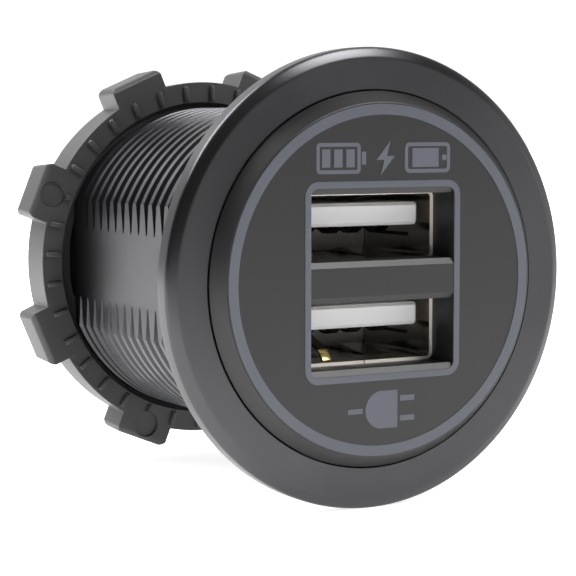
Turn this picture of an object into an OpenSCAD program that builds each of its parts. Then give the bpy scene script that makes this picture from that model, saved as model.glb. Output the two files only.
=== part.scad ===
// Panel-mount charging socket with two stacked ports, for a round hole in a dashboard.
// A flanged, threaded barrel holds the front moulding, the ports and the charger boards,
// and a ring nut clamps the panel against the back of the flange.
// +Y runs along the barrel away from the front, +Z is up, and the front faces -Y.
// The origin is on the barrel's axis, in the plane of the flange's back face. Millimetres.

/* [Flange] */
// Outer diameter of the flange
flange_d = 36.7; // [35:0.1:42]
// Thickness of the flange
flange_t = 1.9; // [1.8:0.1:3]
// Radial width of the chamfer on the flange's front edge
chamfer_w = 0.8; // [0.4:0.05:1.2]
// Depth of that chamfer along the axis
chamfer_h = 0.4; // [0.2:0.05:0.8]
// Depth of the recess that the face plate sits in
seat_depth = 0.9; // [0.6:0.1:1.1]

/* [Barrel] */
// Outer diameter over the thread's crests
thread_d = 27.4; // [27:0.1:29]
// Thread pitch
pitch = 1.5; // [1.25:0.25:2]
// Depth of the thread
thread_depth = 0.85; // [0.5:0.05:0.9]
// Width of the thread's flat crest
crest_flat = 0.62; // [0.2:0.02:0.7]
// Distance of the first groove's middle from the flange
thread_start = 1.72; // [1.2:0.02:3]
// Distance across the two flats
flats_across = 25; // [24.6:0.1:26]
// Length of the flats, from the flange
flat_l = 29.6; // [28:0.1:34]
// Bore of the barrel
bore_d = 23.4; // [23:0.1:23.8]
// Length of the barrel behind the flange
barrel_l = 34; // [34:0.5:40]

/* [Ring nut] */
// Distance of the nut's front from the flange
nut_y = 27.4; // [12:0.1:29]
// Thickness of the nut
nut_t = 3.9; // [3.4:0.1:4.6]
// Diameter of the nut between its lugs, at the front
nut_d = 32.1; // [31.4:0.1:34]
// How far the lugs stand out from the nut
lug_h = 1.6; // [0.8:0.1:2.5]
// Width of a lug
lug_w = 5.1; // [3:0.1:7]
// Number of lugs
lug_count = 8; // [4:1:10]
// Angle of the first lug
lug_phase = 23; // [0:1:44]
// Radius of the lugs' outer corners
lug_corner_r = 0.6; // [0.2:0.05:0.7]
// Number of grip ridges on the nut's front
ridge_count = 36; // [12:1:48]
// Height of a ridge
ridge_h = 0.3; // [0.1:0.02:0.4]
// Width of a ridge
ridge_w = 0.44; // [0.2:0.02:0.6]
// Draft of the nut's outside, as its drop in radius from front to back
nut_draft = 0.2; // [0.05:0.05:0.4]

/* [Face] */
// Diameter of the face plate at the flange
face_d = 29.78; // [29.4:0.02:31]
// How far the face plate stands proud of the flange
face_proud = 1.2; // [0.8:0.1:2]
// Width of the face plate's sloping shoulder
shoulder_w = 0.86; // [0.5:0.02:1]
// Radial width of the light ring
ring_w = 0.83; // [0.5:0.01:1.2]
// Dark lip left outside the light ring
ring_lip = 0.16; // [0.1:0.02:0.4]
// Width of the light line round the windows
frame_line = 0.52; // [0.3:0.02:0.8]
// Depth of the light ring and line in the face plate
inlay_depth = 0.6; // [0.4:0.05:0.8]
// How far the light guide stands proud of the face plate
guide_proud = 0.04; // [0.02:0.01:0.1]
// Diameter of the light pipes
pipe_d = 1.6; // [1.2:0.1:1.8]

/* [Windows] */
// Width of the windows at the face
window_w = 13.34; // [13.3:0.02:14]
// Height from the bottom of the lower window to the top of the upper one
windows_h = 14.68; // [14.5:0.02:15.2]
// Height of the bar between the windows
bar_h = 2.3; // [1.9:0.05:2.5]
// Width of the bevel above and below each window
window_bevel = 0.34; // [0.1:0.02:0.4]
// Depth of the windows' bevels
window_bevel_depth = 0.64; // [0.3:0.02:1]
// Radius of the windows' outer corners
window_r = 0.65; // [0.4:0.05:1]

/* [Ports] */
// Spacing of the two ports
port_pitch = 8.15; // [8:0.05:8.4]
// Depth of the shells' mouths behind the face
mouth_depth = 2.85; // [2.4:0.05:3.2]
// Outer width of a shell
shell_w = 13.1; // [12.9:0.05:13.2]
// Outer height of a shell
shell_h = 5.72; // [5.6:0.02:5.9]
// Length of a shell
shell_l = 13.7; // [13:0.1:14]
// Thickness of the shell's sheet
sheet = 0.3; // [0.2:0.05:0.35]
// Room on each side of a tongue in its shell
tongue_side = 0.7; // [0.6:0.05:0.8]
// Thickness of a tongue
tongue_t = 1.84; // [1.7:0.02:1.9]
// Height of a tongue's middle above the shell's middle
tongue_rise = 0.95; // [0.85:0.01:1]
// Depth of a tongue's end behind the shell's mouth
tongue_recess = 0.72; // [0.5:0.02:1.2]
// Width of a contact
contact_w = 1; // [0.8:0.05:1.2]
// Thickness of a contact
contact_t = 0.25; // [0.2:0.01:0.3]

/* [Boards] */
// Thickness of the circuit boards
board_t = 1.6; // [1.2:0.1:2]
// Width of the converter board
converter_w = 20; // [19.5:0.5:21]
// Height of the converter board's upper side
converter_z = -1; // [-1.2:0.1:-0.8]

/* [Parts on the boards] */
// Diameter of the choke
choke_d = 6.8; // [6:0.1:8.4]
// Height of the choke
choke_h = 5; // [4:0.1:6]
// Diameter of the input capacitor
input_can_d = 6.3; // [5:0.1:6.6]
// Height of the input capacitor
input_can_h = 9.5; // [7:0.1:10]
// Diameter of the output capacitor
output_can_d = 6.3; // [5:0.1:6.6]
// Height of the output capacitor
output_can_h = 7.7; // [5:0.1:8]

/* [Rear end] */
// Thickness of the rear cap's lip
cap_lip_t = 1.6; // [1:0.1:2.5]
// Depth of the rear cap in the bore
cap_depth = 2.8; // [2:0.1:3]
// Width of a terminal blade
blade_w = 6.3; // [5:0.1:6.5]
// Thickness of a terminal blade
blade_t = 0.8; // [0.6:0.05:1]
// Length of a blade behind the rear cap
blade_l = 8; // [6:0.1:10]
// Spacing of the two blades
blade_pitch = 9; // [8:0.1:10]

/* [Hidden] */
$fn = 96;

// Clearances
face_gap = 0.08;
slip = 0.05;
bore_gap = 0.1;
thread_gap = 0.12;
part_gap = 0.2;
pin_gap = 0.1;
pin_end = 0.5;
finger_room = 0.6;
board_end_gap = 0.3;
eps = 0.01;
far = 60;

// Radii of the turned parts
flange_r = flange_d / 2;
thread_r = thread_d / 2;
root_r = thread_r - thread_depth;
bore_r = bore_d / 2;
face_r = face_d / 2;
front_r = face_r - shoulder_w;
ring_r = front_r - ring_lip;
inner_r = bore_r - bore_gap;
nut_r = nut_d / 2;
lug_r = nut_r + lug_h;
nut_bore_r = thread_r + thread_gap;
nut_lead = 0.4;
nut_mouth_r = nut_bore_r + nut_lead;
edge_break = 0.15;

// Planes along the axis
flange_front = -flange_t;
seat_y = flange_front + seat_depth;
face_y = flange_front - face_proud;
guide_y = face_y - guide_proud;
mouth_y = face_y + mouth_depth;
port_board_y = mouth_y + shell_l + slip;
port_board_back = port_board_y + board_t;
led_h = 0.8;
pipe_end_y = port_board_y - led_h - part_gap;
carrier_end_y = port_board_y - 1.5;
cap_front_y = barrel_l - cap_depth;
cap_back_y = barrel_l + cap_lip_t;
converter_y = port_board_back + pin_gap;
converter_end = cap_front_y - board_end_gap;
converter_under = converter_z - board_t;

// Thread form: flat crest, and a root that is a sixth of the pitch
root_flat = pitch / 6;
flank_run = (pitch - crest_flat - root_flat) / 2;
groove_count = floor((barrel_l - thread_start - pitch) / pitch) + 1;
barrel_end_bevel = 0.5;

// Windows and ports
window_wall_w = shell_w + 2 * slip;
window_h = (windows_h - bar_h) / 2;
window_z = (bar_h + window_h) / 2;
port_rise = 0.045;
port_z = [port_rise + port_pitch / 2, port_rise - port_pitch / 2];
shell_corner = 0.6;
contact_x = [-3.5, -1, 1, 3.5];
contact_groove = 0.35;
contact_inset = 0.9;
contact_lead = 0.6;
contact_dip_at = 2;
contact_dip_l = 0.5;
contact_dip = 0.75;
contact_spring_l = 5;
contact_skew = 0.1;
contact_pin_w = 0.6;
tongue_w = shell_w - 2 * sheet - 2 * tongue_side;
finger_start = 3.2;
finger_inset = 3.35;
finger_x = shell_w / 2 - finger_inset;
finger_side_room = 0.3;
block_l = 3.7;
block_y = mouth_y + shell_l - block_l;
tongue_y = mouth_y + tongue_recess;
tab_w = 2;
pipe_places = [[9.4, 0], [-9.4, 0], [0, 9.6], [0, -9.6]];
post_places = [[8.7, 4.6], [-8.7, 4.6], [8.7, -4.6], [-8.7, -4.6]];
post_r = 1;
link_x = [-3.81, -1.27, 1.27, 3.81];
link_w = 0.64;
link_l = 0.8;
terminal_foot_l = 2;
blade_taper = 1.6;

// Turns a shape that was drawn round Z so that it lies round Y
module along_y() rotate([-90, 0, 0]) children();

// Solid of revolution round Y from points given as [radius, y]
module turned(points) along_y() rotate_extrude() polygon(points);

// Cylinder round Y, or a line parallel to it through [x, z]
module rod(r, y0, y1, place = [0, 0])
    translate([place[0], y0, place[1]]) along_y() cylinder(r = r, h = y1 - y0);

// Block between two corners
module block(low, high) translate(low) cube(high - low);

// Outline in X and Z pushed along Y from y0 to y1
module pushed(y0, y1) translate([0, y1, 0]) rotate([90, 0, 0]) linear_extrude(y1 - y0) children();

// Outline given as [y, z] points, pushed along X and centred on x
module profile_x(points, w, x = 0)
    translate([x - w / 2, 0, 0]) rotate([90, 0, 90]) linear_extrude(w) polygon(points);

// Rectangle with round corners
module round_rect(w, h, r) {
    square([w - 2 * r, h], center = true);
    square([w, h - 2 * r], center = true);
    for (x = [-1, 1], z = [-1, 1]) translate([x * (w / 2 - r), z * (h / 2 - r)]) circle(r = r);
}

// Points of an arc, as [radius, y] or any two axes
function arc(cx, cy, r, a0, a1, n = 8) =
    [for (i = [0:n]) let (a = a0 + (a1 - a0) * i / n) [cx + r * cos(a), cy + r * sin(a)]];

// HOUSING
// One groove of the thread, seen as a dip between two crests
function groove(i) = let (c = thread_start + i * pitch) [
    [thread_r, c - root_flat / 2 - flank_run],
    [root_r, c - root_flat / 2],
    [root_r, c + root_flat / 2],
    [thread_r, c + root_flat / 2 + flank_run]];

module housing() {
    body = concat(
        [[bore_r, seat_y], [face_r + face_gap, seat_y], [face_r + face_gap, flange_front],
         [flange_r - chamfer_w, flange_front], [flange_r, flange_front + chamfer_h],
         [flange_r, -edge_break], [flange_r - edge_break, 0], [thread_r, 0]],
        [for (i = [0:groove_count - 1]) each groove(i)],
        [[thread_r, barrel_l - barrel_end_bevel], [thread_r - barrel_end_bevel, barrel_l],
         [bore_r, barrel_l]]);
    color([0.13, 0.13, 0.14]) difference() {
        turned(body);
        for (s = [-1, 1]) translate([s > 0 ? flats_across / 2 : -flats_across / 2 - far, 0, -far / 2])
            cube([far, flat_l, far]);
    }
}

// RING NUT
// Ridges of the nut's own thread, which lie in the barrel's grooves with clearance
ridge_tip = root_flat / 2;
ridge_base = ridge_tip + flank_run;
first_turn = ceil((nut_y + nut_lead + ridge_base - thread_start) / pitch);
last_turn = floor((nut_y + nut_t - nut_lead - ridge_base - thread_start) / pitch);
function nut_thread(i) = let (c = thread_start + i * pitch) [
    [nut_bore_r, c - ridge_base],
    [root_r + thread_gap, c - ridge_tip],
    [root_r + thread_gap, c + ridge_tip],
    [nut_bore_r, c + ridge_base]];

module lug() {
    w = lug_w;
    c = lug_corner_r;
    back = nut_y + nut_t;
    block([nut_bore_r + 1, nut_y, -w / 2], [lug_r - c, back, w / 2]);
    block([nut_bore_r + 1, nut_y, -w / 2 + c], [lug_r + 1, back, w / 2 - c]);
    for (s = [-1, 1]) rod(c, nut_y, back, [lug_r - c - 0.08, s * (w / 2 - c)]);
}

module lock_nut() {
    back = nut_y + nut_t;
    mark_r = 1.15;
    mark_depth = 0.25;
    ridge_in = nut_mouth_r + 0.1;
    ridge_out = nut_r - 0.3;
    color([0.17, 0.17, 0.18]) {
        difference() {
            union() {
                turned([[nut_bore_r + 0.8, nut_y], [nut_r - 0.25, nut_y], [nut_r, nut_y + 0.25],
                        [nut_r - nut_draft, back - edge_break], [nut_r - nut_draft - edge_break, back],
                        [nut_bore_r + 0.8, back]]);
                intersection() {
                    turned([[nut_bore_r + 0.9, nut_y], [lug_r - edge_break, nut_y], [lug_r, nut_y + edge_break],
                            [lug_r - nut_draft, back - edge_break], [lug_r - nut_draft - edge_break, back],
                            [nut_bore_r + 0.9, back]]);
                    for (i = [0:lug_count - 1]) rotate([0, -lug_phase - i * 360 / lug_count, 0]) lug();
                }
                turned(concat(
                    [[nut_bore_r + 1, back], [nut_bore_r + 1, nut_y], [nut_mouth_r, nut_y],
                     [nut_bore_r, nut_y + nut_lead]],
                    [for (i = [first_turn:last_turn]) each nut_thread(i)],
                    [[nut_bore_r, back - nut_lead], [nut_mouth_r, back]]));
                for (i = [0:ridge_count - 1]) rotate([0, -7 - i * 360 / ridge_count, 0])
                    block([ridge_in, nut_y - ridge_h, -ridge_w / 2], [ridge_out, nut_y + 0.2, ridge_w / 2]);
            }
            // Shallow ejector marks on every second lug
            for (i = [1:2:lug_count - 1]) rotate([0, -lug_phase - i * 360 / lug_count, 0])
                rod(mark_r, nut_y - 1, nut_y + mark_depth, [lug_r - mark_r - 0.3, 0]);
        }
    }
}

// FACE PLATE AND LIGHT GUIDE
module window_outline(grow = 0)
    round_rect(window_w + 2 * grow, windows_h + 2 * grow, window_r + grow);

// One window: bevels at the face, then straight walls
module window(z) {
    side_bevel = (window_w - window_wall_w) / 2;
    y0 = face_y - 1;
    y1 = mouth_y + 1;
    yb = face_y + window_bevel_depth;
    h = window_h / 2;
    wall_h = h - window_bevel;
    w = window_w / 2;
    wall_w = w - side_bevel;
    intersection() {
        profile_x([[y0, z - h], [face_y, z - h], [yb, z - wall_h], [y1, z - wall_h],
                   [y1, z + wall_h], [yb, z + wall_h], [face_y, z + h], [y0, z + h]], window_w + 1);
        linear_extrude(height = 3 * windows_h, center = true)
            polygon([[-w, y0], [-w, face_y], [-wall_w, yb], [-wall_w, y1],
                     [wall_w, y1], [wall_w, yb], [w, face_y], [w, y0]]);
        pushed(y0, y1) window_outline();
    }
}

// Light guide from front_y back: ring, window line, four runners under the skin and the pipes
module guide_shape(front_y, pipe_y) {
    inlay_y = face_y + inlay_depth;
    runner_y = inlay_y + 0.5;
    turned([[ring_r - ring_w, front_y], [ring_r, front_y], [ring_r, inlay_y], [ring_r - ring_w, inlay_y]]);
    difference() {
        pushed(front_y, inlay_y) window_outline(frame_line);
        pushed(front_y - 1, inlay_y + 1) window_outline();
    }
    intersection() {
        for (a = [0:90:270]) rotate([0, a, 0])
            block([window_w / 2 + 0.1, inlay_y - 0.1, -0.8], [ring_r, runner_y, 0.8]);
        difference() {
            rod(ring_r, inlay_y - 1, runner_y);
            pushed(inlay_y - 2, runner_y + 1) window_outline(0.1);
        }
    }
    for (p = pipe_places) rod(pipe_d / 2, inlay_y, pipe_y, p);
}

module face_plate() {
    lip = 0.08;
    color([0.25, 0.25, 0.26]) difference() {
        turned([[0, mouth_y - slip], [0, face_y], [front_r - lip, face_y], [front_r - lip / 4, face_y + lip / 4],
                [front_r + lip, face_y + lip * 1.3], [face_r, flange_front - lip], [face_r, seat_y],
                [inner_r, seat_y], [inner_r, mouth_y - slip]]);
        for (s = [-1, 1]) window(s * window_z);
        guide_shape(face_y - 1, mouth_y + 1);
    }
}

module light_guide() {
    color([0.45, 0.46, 0.5]) guide_shape(guide_y, pipe_end_y);
}

// PORTS
module port_carrier() {
    color([0.1, 0.1, 0.11]) difference() {
        union() {
            rod(inner_r, mouth_y, carrier_end_y);
            for (p = post_places) rod(post_r, carrier_end_y - eps, port_board_y, p);
        }
        for (z = port_z) translate([0, 0, z]) pushed(mouth_y - 1, carrier_end_y + 1)
            round_rect(shell_w + 2 * slip, shell_h + 2 * slip, shell_corner + slip);
        for (p = pipe_places) rod(pipe_d / 2 + slip, mouth_y - 1, carrier_end_y + 1, p);
    }
}

// Spring finger rooted at y0, bent into the port; wall is the outer face and way points inwards
module finger(y0, l, wall, way, w, x) {
    s = sheet;
    dip = 0.5;
    profile_x([[y0, wall], [y0, wall + way * s], [y0 + l * 0.7, wall + way * (s + dip)],
               [y0 + l, wall + way * (s + dip * 0.4)], [y0 + l, wall + way * dip * 0.4],
               [y0 + l * 0.7, wall + way * dip]], w, x);
}

module usb_shell(z) {
    finger_y = mouth_y + finger_start;
    slot_l = block_y - finger_y - finger_room;
    finger_l = slot_l - finger_room;
    flat_w = 2.2;
    side_w = 1.5;
    slot_w = flat_w / 2 + finger_side_room;
    end_y = mouth_y + shell_l;
    color([0.72, 0.7, 0.66]) translate([0, 0, z]) {
        difference() {
            pushed(mouth_y, end_y) round_rect(shell_w, shell_h, shell_corner);
            pushed(mouth_y - 1, end_y + 1)
                round_rect(shell_w - 2 * sheet, shell_h - 2 * sheet, shell_corner - sheet);
            // Seam where the folded sheet meets, in the middle of the floor
            block([-0.04, mouth_y - 1, -shell_h / 2 - 1], [0.04, end_y + 1, -shell_h / 2 + sheet + 0.1]);
            for (x = [-finger_x, finger_x], s = [-1, 1]) translate([x, finger_y, s * shell_h / 2])
                block([-slot_w, 0, -2 * sheet], [slot_w, slot_l, 2 * sheet]);
            for (s = [-1, 1]) translate([s * shell_w / 2, finger_y, 0])
                block([-2 * sheet, 0, -side_w / 2 - finger_side_room], [2 * sheet, slot_l, side_w / 2 + finger_side_room]);
        }
        for (x = [-finger_x, finger_x], s = [-1, 1])
            finger(finger_y - eps, finger_l, s * shell_h / 2, -s, flat_w, x);
        for (s = [-1, 1]) rotate([0, s * 90, 0]) finger(finger_y - eps, finger_l, shell_w / 2, -1, side_w, 0);
        for (s = [-1, 1]) block([min(s * (shell_w / 2 - sheet), s * shell_w / 2), end_y - eps, -tab_w / 2],
            [max(s * (shell_w / 2 - sheet), s * shell_w / 2), port_board_back + pin_end, tab_w / 2]);
    }
}

module usb_shell_upper() usb_shell(port_z[0]);
module usb_shell_lower() usb_shell(port_z[1]);

module usb_tongue(z) {
    iw = shell_w - 2 * sheet - 2 * slip;
    ih = shell_h - 2 * sheet - 2 * slip;
    under = tongue_rise - tongue_t / 2;
    color([0.86, 0.86, 0.86]) translate([0, 0, z]) difference() {
        union() {
            pushed(block_y, mouth_y + shell_l) round_rect(iw, ih, shell_corner - sheet - slip);
            translate([0, 0, tongue_rise]) pushed(tongue_y, block_y + eps) round_rect(tongue_w, tongue_t, 0.35);
        }
        for (x = contact_x) block([x - contact_w / 2 - slip, tongue_y + 0.8, under - eps],
            [x + contact_w / 2 + slip, mouth_y + shell_l + 1, under + contact_groove]);
    }
}

module usb_tongue_upper() usb_tongue(port_z[0]);
module usb_tongue_lower() usb_tongue(port_z[1]);

// Four spring contacts under a tongue, with their pins through the port board
module usb_contacts(z) {
    top = tongue_rise - tongue_t / 2 + contact_groove - slip;
    low = top - contact_t;
    end_y = mouth_y + shell_l;
    y0 = tongue_y + contact_inset;
    y1 = y0 + contact_lead;
    y2 = y0 + contact_dip_at;
    y3 = y2 + contact_dip_l;
    y4 = y0 + contact_spring_l;
    s = contact_skew;
    belly = contact_dip;
    color([0.85, 0.65, 0.25]) translate([0, 0, z]) for (x = contact_x) {
        profile_x([[y0, low], [y0, top], [y1, top], [y2, top - belly], [y3, top - belly], [y4, top],
                   [end_y, top], [end_y, low], [y4 - s, low], [y3 + s / 2, low - belly],
                   [y2 - s, low - belly], [y1 - s, low]], contact_w, x);
        block([x - contact_pin_w / 2, end_y - eps, low], [x + contact_pin_w / 2, port_board_back + pin_end, top]);
    }
}

module usb_contacts_upper() usb_contacts(port_z[0]);
module usb_contacts_lower() usb_contacts(port_z[1]);

// BOARDS
module port_board() {
    pin_z = tongue_rise - tongue_t / 2 + contact_groove - slip - contact_t / 2;
    color([0.06, 0.3, 0.16]) difference() {
        rod(inner_r - 0.1, port_board_y, port_board_back);
        for (z = port_z, x = contact_x) rod(0.45, port_board_y - 1, port_board_back + 1, [x, z + pin_z]);
        for (z = port_z, s = [-1, 1])
            block([s * (shell_w - sheet) / 2 - sheet / 2 - pin_gap, port_board_y - 1, z - tab_w / 2 - pin_gap],
                  [s * (shell_w - sheet) / 2 + sheet / 2 + pin_gap, port_board_back + 1, z + tab_w / 2 + pin_gap]);
        for (x = link_x) rod(0.5, port_board_y - 1, port_board_back + 1, [x, converter_z + link_w / 2]);
    }
}

module ring_leds() {
    color([0.95, 0.9, 0.7]) for (p = pipe_places)
        block([p[0] - 1, port_board_y - led_h, p[1] - 0.6], [p[0] + 1, port_board_y, p[1] + 0.6]);
}

module link_pins() {
    color([0.8, 0.65, 0.3]) for (x = link_x)
        block([x - link_w / 2, port_board_y + 0.2, converter_z], [x + link_w / 2, converter_y + link_l, converter_z + link_w]);
}

module converter_board() {
    color([0.06, 0.3, 0.16]) difference() {
        block([-converter_w / 2, converter_y, converter_under], [converter_w / 2, converter_end, converter_z]);
        for (s = [-1, 1]) block([s * blade_pitch / 2 - blade_t / 2 - slip, converter_end - terminal_foot_l - slip, converter_under - 1],
            [s * blade_pitch / 2 + blade_t / 2 + slip, converter_end + 1, converter_z + 1]);
    }
}

// PARTS ON THE CONVERTER BOARD
part_row_y = converter_y + link_l + part_gap;
part_split_x = -0.5;
choke_place = [part_split_x - (part_gap + choke_d) / 2, part_row_y + choke_d / 2];
input_place = [part_split_x + (part_gap + input_can_d) / 2, part_row_y + input_can_d / 2];
under_row_y = port_board_back + pin_end + part_gap;
output_place = [0, under_row_y + output_can_d / 2];
chip_size = [3.9, 5, 1.6];
leg_reach = 1.1;
chip_x = output_can_d / 2 + part_gap + leg_reach + chip_size[0] / 2;
chip_y = under_row_y + chip_size[1] / 2;
diode_size = [4.4, 2.6, 2.2];
diode_y = output_place[1] + (output_can_d + diode_size[1]) / 2 + part_gap;
resistor_size = [0.8, 1.6, 0.6];
resistor_pitch = 1.2;
resistor_y = chip_y + (chip_size[1] + resistor_size[1]) / 2 + part_gap;

// Puts a part drawn round Z, with its foot at zero, on the board's upper side
module on_board(place) translate([place[0], place[1], converter_z]) children();

// Puts a part on the board's underside, upside down
module under_board(place) translate([place[0], place[1], converter_under]) mirror([0, 0, 1]) children();

module choke_core() {
    r = choke_d / 2;
    rim = choke_h * 0.18;
    color([0.2, 0.2, 0.21]) on_board(choke_place) rotate_extrude()
        polygon([[0, 0], [r, 0], [r, rim], [r * 0.5, rim], [r * 0.5, choke_h - rim],
                 [r, choke_h - rim], [r, choke_h], [0, choke_h]]);
}

module choke_winding() {
    r = choke_d / 2;
    rim = choke_h * 0.18 + slip;
    color([0.72, 0.38, 0.18]) on_board(choke_place) rotate_extrude()
        polygon([[r * 0.5 + slip, rim], [r * 0.92, rim], [r * 0.92, choke_h - rim], [r * 0.5 + slip, choke_h - rim]]);
}

// Capacitor can with a crimp above its base and a rounded top
module can(d, h) {
    r = d / 2;
    rotate_extrude() polygon(concat(
        [[0, 0], [r - 0.25, 0], [r, 0.25], [r, 1.1], [r - 0.3, 1.4], [r - 0.3, 1.7], [r, 2]],
        arc(r - 0.4, h - 0.4, 0.4, 0, 90, 4), [[0, h]]));
}

module input_capacitor() color([0.12, 0.14, 0.3]) on_board(input_place) can(input_can_d, input_can_h);
module output_capacitor() color([0.12, 0.14, 0.3]) under_board(output_place) can(output_can_d, output_can_h);

// Eight-legged chip that stands on zero height
module chip() {
    w = chip_size[0];
    h = chip_size[2];
    difference() {
        block([-w / 2, -chip_size[1] / 2, 0.1], [w / 2, chip_size[1] / 2, h]);
        translate([-w / 2 + 0.8, -chip_size[1] / 2 + 0.8, h - 0.1]) cylinder(r = 0.3, h = 1);
    }
    for (s = [-1, 1], i = [-1.5:1:1.5]) translate([0, i * 1.27, 0]) rotate([90, 0, 0])
        translate([0, 0, -0.2]) linear_extrude(0.4) mirror([s > 0 ? 0 : 1, 0]) polygon(
            [[w / 2 - eps, h / 2], [w / 2 + 0.5, h / 2], [w / 2 + 0.6, 0.2], [w / 2 + leg_reach, 0.2],
             [w / 2 + leg_reach, 0],
             [w / 2 + 0.45, 0], [w / 2 + 0.35, h / 2 - 0.2], [w / 2 - eps, h / 2 - 0.2]]);
}

module converter_chip() color([0.08, 0.08, 0.09]) under_board([-chip_x, chip_y]) chip();
module charge_chip() color([0.08, 0.08, 0.09]) under_board([chip_x, chip_y]) chip();

module flyback_diode() color([0.1, 0.1, 0.1]) under_board([0, diode_y]) {
    w = diode_size[0];
    block([-w / 2, -diode_size[1] / 2, 0.1], [w / 2, diode_size[1] / 2, diode_size[2]]);
    for (s = [-1, 1]) block([s * w / 2 - 0.6, -0.8, 0], [s * w / 2 + 0.6, 0.8, diode_size[2] / 2]);
}

module chip_resistors() color([0.12, 0.12, 0.12]) for (i = [-2:2])
    under_board([chip_x + i * resistor_pitch, resistor_y]) translate([0, 0, resistor_size[2] / 2])
        cube(resistor_size, center = true);

// REAR END
module blade_slot(s) block([s * blade_pitch / 2 - blade_t / 2 - slip, cap_front_y - 1, -blade_w / 2 - slip],
    [s * blade_pitch / 2 + blade_t / 2 + slip, cap_back_y + 1, blade_w / 2 + slip]);

module rear_cap() {
    lip_r = flats_across / 2 - 0.2;
    corner = 0.3;
    collar = [1.3, 0.6, blade_w / 2 + 0.8];
    color([0.11, 0.11, 0.12]) difference() {
        union() {
            turned([[0, cap_front_y], [inner_r - corner, cap_front_y], [inner_r, cap_front_y + corner],
                    [inner_r, barrel_l + slip], [lip_r, barrel_l + slip], [lip_r, cap_back_y - corner],
                    [lip_r - corner, cap_back_y], [0, cap_back_y]]);
            for (s = [-1, 1]) translate([s * blade_pitch / 2, cap_back_y, 0])
                block([-collar[0], -eps, -collar[2]], [collar[0], collar[1], collar[2]]);
        }
        for (s = [-1, 1]) blade_slot(s);
    }
}

module terminal(s) {
    x = s * blade_pitch / 2;
    foot_y = converter_end - terminal_foot_l;
    root_y = cap_front_y - 0.1;
    tip_y = cap_back_y + blade_l;
    b = blade_w / 2;
    color([0.8, 0.76, 0.68]) difference() {
        union() {
            block([x - blade_t / 2, foot_y, converter_under - 0.5],
                  [x + blade_t / 2, root_y + 0.05, converter_z + 0.5]);
            profile_x([[root_y, b], [tip_y - blade_taper, b], [tip_y, b - 0.9], [tip_y, -b + 0.9],
                       [tip_y - blade_taper, -b], [root_y, -b]], blade_t, x);
        }
        translate([x, tip_y - 3.2, 0]) rotate([0, 90, 0]) cylinder(r = 0.75, h = 4 * blade_t, center = true);
    }
}

module terminal_positive() terminal(-1);
module terminal_negative() terminal(1);

housing();
lock_nut();
face_plate();
light_guide();
port_carrier();
usb_shell_upper();
usb_shell_lower();
usb_tongue_upper();
usb_tongue_lower();
usb_contacts_upper();
usb_contacts_lower();
port_board();
ring_leds();
link_pins();
converter_board();
choke_core();
choke_winding();
input_capacitor();
output_capacitor();
converter_chip();
charge_chip();
flyback_diode();
chip_resistors();
rear_cap();
terminal_positive();
terminal_negative();
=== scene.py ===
"""Dresses the panel-mount charging socket: finer pieces, finishes, printed signs, studio and camera.

The sizes of the socket's pieces are in millimetres, as their docstrings say. Those of the studio are in
metres, and a name that ends in _mm is in millimetres anywhere.
"""

from __future__ import annotations

import logging
import math
from collections.abc import Callable, Mapping, Sequence
from dataclasses import dataclass
from enum import Enum
from typing import Any

import bpy
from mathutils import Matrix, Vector

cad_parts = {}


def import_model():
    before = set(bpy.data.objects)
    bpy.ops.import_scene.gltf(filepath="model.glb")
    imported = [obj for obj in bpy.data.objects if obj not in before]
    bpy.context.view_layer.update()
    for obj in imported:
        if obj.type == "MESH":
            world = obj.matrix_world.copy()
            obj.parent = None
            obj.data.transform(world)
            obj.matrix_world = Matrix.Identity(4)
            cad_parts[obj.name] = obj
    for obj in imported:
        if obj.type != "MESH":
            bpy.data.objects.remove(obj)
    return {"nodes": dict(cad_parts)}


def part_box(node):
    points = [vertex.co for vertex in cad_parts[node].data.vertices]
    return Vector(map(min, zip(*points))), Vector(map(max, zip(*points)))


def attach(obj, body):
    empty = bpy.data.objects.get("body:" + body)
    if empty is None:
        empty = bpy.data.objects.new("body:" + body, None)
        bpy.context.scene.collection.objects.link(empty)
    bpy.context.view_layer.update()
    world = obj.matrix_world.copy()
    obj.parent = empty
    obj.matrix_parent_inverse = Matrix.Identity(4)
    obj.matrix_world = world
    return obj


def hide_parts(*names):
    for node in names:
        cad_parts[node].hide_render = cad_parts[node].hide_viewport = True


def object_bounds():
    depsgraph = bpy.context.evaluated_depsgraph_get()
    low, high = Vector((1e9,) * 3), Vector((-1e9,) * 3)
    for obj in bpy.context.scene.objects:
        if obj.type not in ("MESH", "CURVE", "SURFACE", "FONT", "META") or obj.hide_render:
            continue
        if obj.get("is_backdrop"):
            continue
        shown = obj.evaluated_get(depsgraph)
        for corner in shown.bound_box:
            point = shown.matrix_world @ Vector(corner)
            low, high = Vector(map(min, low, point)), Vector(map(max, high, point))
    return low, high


LOG = logging.getLogger("socket")
MM = 0.001
BODY = "root"
# A ring as small as this is merged into a point on the axis
POINT_R_MM = 0.0004
# Distance under which a boolean's doubles are merged
FINE_MERGE_MM = 0.0005


# Small helpers


def linear(hex_colour: str) -> tuple[float, float, float, float]:
    """Turns an sRGB hex colour into linear light.

    Args:
        hex_colour: Six hex digits after a hash sign.

    Returns:
        Red, green, blue and an alpha of one.
    """
    parts = [int(hex_colour[i : i + 2], 16) / 255 for i in (1, 3, 5)]
    red, green, blue = [p / 12.92 if p <= 0.04045 else ((p + 0.055) / 1.055) ** 2.4 for p in parts]
    return red, green, blue, 1.0


def per_metre(size_mm: float) -> float:
    """Returns the texture scale at which a pattern repeats about every size_mm."""
    return 1.0 / (size_mm * MM)


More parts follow.
